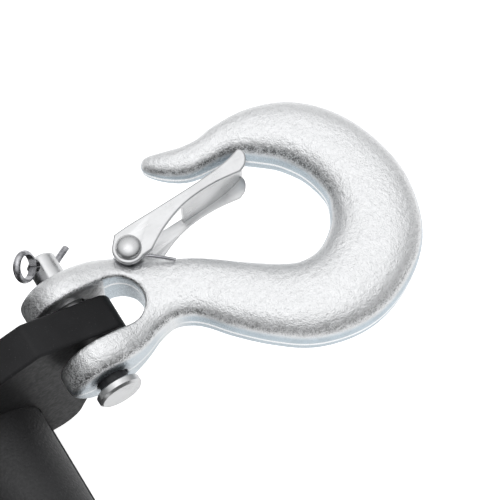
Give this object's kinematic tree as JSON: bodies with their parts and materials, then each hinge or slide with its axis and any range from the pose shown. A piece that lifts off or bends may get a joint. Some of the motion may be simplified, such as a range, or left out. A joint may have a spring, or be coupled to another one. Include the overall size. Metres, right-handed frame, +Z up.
{
  "type": "boat trailer winch",
  "caption": "Hand-cranked geared trailer winch with a ratchet pawl, an open strap drum and a forged clevis slip hook pinned to its anchor plate.",
  "frame": {"origin": "centre of the base plate's underside", "axes": "+X from the drum towards the hook, +Y along the drum's axle towards the ratchet side, +Z up from the base"},
  "size_m": [0.405, 0.249, 0.1392],
  "materials": {
    "black_coat": "satin powder coat",
    "bright_zinc": "bright zinc plate",
    "forged_zinc": "blasted forging, zinc plated",
    "dark_steel": "oiled steel",
    "bronze": "sintered bronze",
    "spring_steel": "bare spring steel",
    "black_rubber": "matte moulded rubber"
  },
  "bodies": {
    "frame": {"base_plate": "black_coat", "side_plate_left": "black_coat", "side_plate_right": "black_coat", "anchor_plate": "black_coat", "cross_tube": "black_coat", "rear_tie_tube": "black_coat", "cross_tube_bolt": "bright_zinc", "cross_tube_nut": "bright_zinc", "drum_axle_bolt": "bright_zinc", "drum_axle_nut": "bright_zinc", "rear_tie_bolt": "bright_zinc", "rear_tie_nut": "bright_zinc", "axle_spacer_left": "bright_zinc", "axle_spacer_right": "bright_zinc", "shaft_bush_left": "bronze", "shaft_bush_right": "bronze", "pawl_pin": "bright_zinc", "pawl_nut": "bright_zinc", "pawl_spring": "spring_steel"},
    "drum": {"drum_hub": "bright_zinc", "drum_bush_left": "bronze", "drum_bush_right": "bronze", "drum_flange_left": "bright_zinc", "drum_flange_right": "bright_zinc", "drum_gear": "dark_steel", "strap_bolt": "bright_zinc", "strap_bolt_nut": "bright_zinc"},
    "crank": {"crank_shaft": "dark_steel", "pinion_gear": "dark_steel", "ratchet_wheel": "dark_steel", "shaft_retaining_ring": "spring_steel", "crank_spacer": "bright_zinc", "crank_arm": "bright_zinc", "crank_washer": "bright_zinc", "crank_nut": "bright_zinc", "grip_axle": "bright_zinc", "grip_washer": "bright_zinc", "grip_cap_nut": "bright_zinc"},
    "grip": {"handle_grip": "black_rubber"},
    "pawl": {"ratchet_pawl": "dark_steel"},
    "hook": {"hook_body": "forged_zinc", "clevis_pin": "bright_zinc", "cotter_pin": "spring_steel", "latch_rivet": "bright_zinc", "latch_spring": "spring_steel"},
    "latch": {"safety_latch": "bright_zinc"}
  },
  "joints": [
    {"name": "drum_turn", "type": "hinge", "parent": "frame", "child": "drum", "pos_m": [-0.0098, 0, 0.062], "axis": [0, 1, 0], "continuous": true},
    {"name": "crank_turn", "type": "hinge", "parent": "frame", "child": "crank", "pos_m": [-0.04576, 0, 0.11336], "axis": [0, 1, 0], "continuous": true},
    {"name": "grip_spin", "type": "hinge", "parent": "crank", "child": "grip", "pos_m": [-0.18569, 0, 0.02592], "axis": [0, 1, 0], "continuous": true},
    {"name": "pawl_tilt", "type": "hinge", "parent": "frame", "child": "pawl", "pos_m": [-0.01381, 0, 0.12499], "axis": [0, 1, 0], "range_deg": [-10, 20]},
    {"name": "hook_swing", "type": "hinge", "parent": "frame", "child": "hook", "pos_m": [0.093, 0, 0.0579], "axis": [0, -1, 0], "range_deg": [-45, 90]},
    {"name": "latch_open", "type": "hinge", "parent": "hook", "child": "latch", "pos_m": [0.1167, 0.0127, 0.0579], "axis": [0, 0, -1], "range_deg": [0, 40], "stiffness_Nm_per_rad": 0.02, "springref_deg": -20.05}
  ],
  "couplings": [
    {"joint": "crank_turn", "follows": "drum_turn", "ratio": -4}
  ]
}
